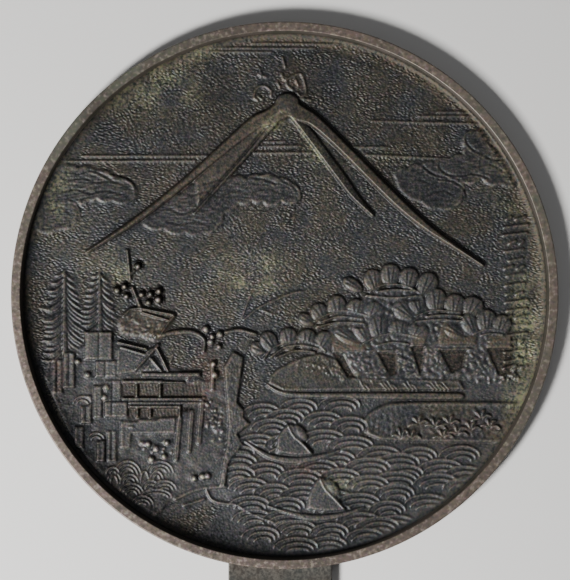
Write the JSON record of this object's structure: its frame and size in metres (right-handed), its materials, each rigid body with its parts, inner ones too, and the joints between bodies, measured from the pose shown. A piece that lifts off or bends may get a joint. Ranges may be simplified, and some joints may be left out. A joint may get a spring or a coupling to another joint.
{
  "type": "hand mirror",
  "caption": "Round cast bronze hand mirror with a flat grip, a plain reflecting face, and a raised rim around a landscape in relief on its back.",
  "frame": {"origin": "centre of the disc on the plain reflecting face, which the mirror lies on", "axes": "+Z out of the decorated back, +Y up the picture, away from the grip, +X to the picture's right"},
  "size_m": [0.182, 0.276, 0.0055],
  "materials": {
    "patinated_bronze": "dark brown and grey patina on cast bronze, with worn reddish edges and greenish spots"
  },
  "bodies": {
    "root": {"mirror": "patinated_bronze"}
  },
  "joints": []
}
